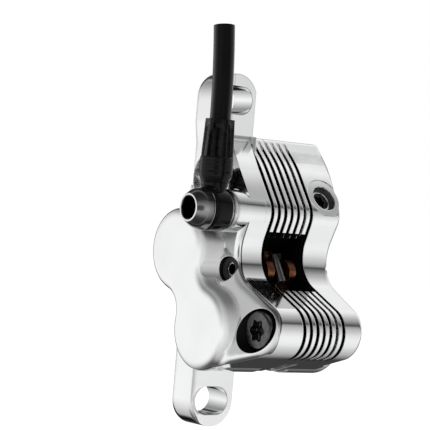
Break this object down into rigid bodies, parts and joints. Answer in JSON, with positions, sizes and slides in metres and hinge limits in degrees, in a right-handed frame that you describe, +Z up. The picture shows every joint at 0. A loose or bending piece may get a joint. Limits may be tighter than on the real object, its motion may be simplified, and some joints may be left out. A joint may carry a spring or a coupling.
{
  "type": "hydraulic disc brake caliper",
  "caption": "Polished post-mount bicycle disc brake caliper: grooved bridge with a pad window, necked piston lobes, slotted ears, banjo hose and sliding pads that clamp a rotor.",
  "frame": {"origin": "midway between the two mounting slots, on the plane of the ears' faces that rest on the posts", "axes": "+Z up the line of the posts, +Y towards the posts, +X along the rotor axis towards the wheel"},
  "size_m": [0.0465, 0.0435, 0.0976],
  "materials": {
    "polished_alloy": "mirror polished",
    "black_alloy": "black anodised, glossy",
    "dark_steel": "dark zinc",
    "spring_steel": "bright",
    "washer": "black anodised",
    "hose_rubber": "satin",
    "liner": "satin",
    "seal_rubber": "matte",
    "copper_plate": "copper coated",
    "lining": "sintered",
    "piston": "phenolic"
  },
  "bodies": {
    "caliper": {"outboard_half": "polished_alloy", "inboard_half": "polished_alloy", "upper_body_bolt": "dark_steel", "lower_body_bolt": "dark_steel", "crossover_seal": "seal_rubber", "banjo_fitting": "black_alloy", "banjo_bolt": "black_alloy", "banjo_washer_inner": "washer", "banjo_washer_outer": "washer", "hose_ferrule": "black_alloy", "brake_hose": "hose_rubber", "hose_liner": "liner", "pad_axle": "dark_steel", "pad_axle_clip": "spring_steel", "pad_axle_seal": "seal_rubber", "pad_spring": "spring_steel", "bleed_screw": "dark_steel", "bleed_seal": "seal_rubber", "outboard_upper_piston_seal": "seal_rubber", "outboard_lower_piston_seal": "seal_rubber", "inboard_upper_piston_seal": "seal_rubber", "inboard_lower_piston_seal": "seal_rubber"},
    "outboard_pad": {"outboard_pad_plate": "copper_plate", "outboard_pad_lining": "lining"},
    "outboard_upper_piston": {"outboard_upper_piston": "piston"},
    "outboard_lower_piston": {"outboard_lower_piston": "piston"},
    "inboard_pad": {"inboard_pad_plate": "copper_plate", "inboard_pad_lining": "lining"},
    "inboard_upper_piston": {"inboard_upper_piston": "piston"},
    "inboard_lower_piston": {"inboard_lower_piston": "piston"}
  },
  "joints": [
    {"name": "outboard_pad_slide", "type": "slide", "parent": "caliper", "child": "outboard_pad", "axis": [1, 0, 0], "range_m": [0, 0.0009]},
    {"name": "outboard_upper_piston_slide", "type": "slide", "parent": "caliper", "child": "outboard_upper_piston", "axis": [1, 0, 0], "range_m": [0, 0.0009]},
    {"name": "outboard_lower_piston_slide", "type": "slide", "parent": "caliper", "child": "outboard_lower_piston", "axis": [1, 0, 0], "range_m": [0, 0.0009]},
    {"name": "inboard_pad_slide", "type": "slide", "parent": "caliper", "child": "inboard_pad", "axis": [-1, 0, 0], "range_m": [0, 0.0009]},
    {"name": "inboard_upper_piston_slide", "type": "slide", "parent": "caliper", "child": "inboard_upper_piston", "axis": [-1, 0, 0], "range_m": [0, 0.0009]},
    {"name": "inboard_lower_piston_slide", "type": "slide", "parent": "caliper", "child": "inboard_lower_piston", "axis": [-1, 0, 0], "range_m": [0, 0.0009]}
  ],
  "couplings": [
    {"joint": "outboard_upper_piston_slide", "follows": "outboard_pad_slide", "ratio": 1},
    {"joint": "outboard_lower_piston_slide", "follows": "outboard_pad_slide", "ratio": 1},
    {"joint": "inboard_pad_slide", "follows": "outboard_pad_slide", "ratio": 1},
    {"joint": "inboard_upper_piston_slide", "follows": "outboard_pad_slide", "ratio": 1},
    {"joint": "inboard_lower_piston_slide", "follows": "outboard_pad_slide", "ratio": 1}
  ]
}
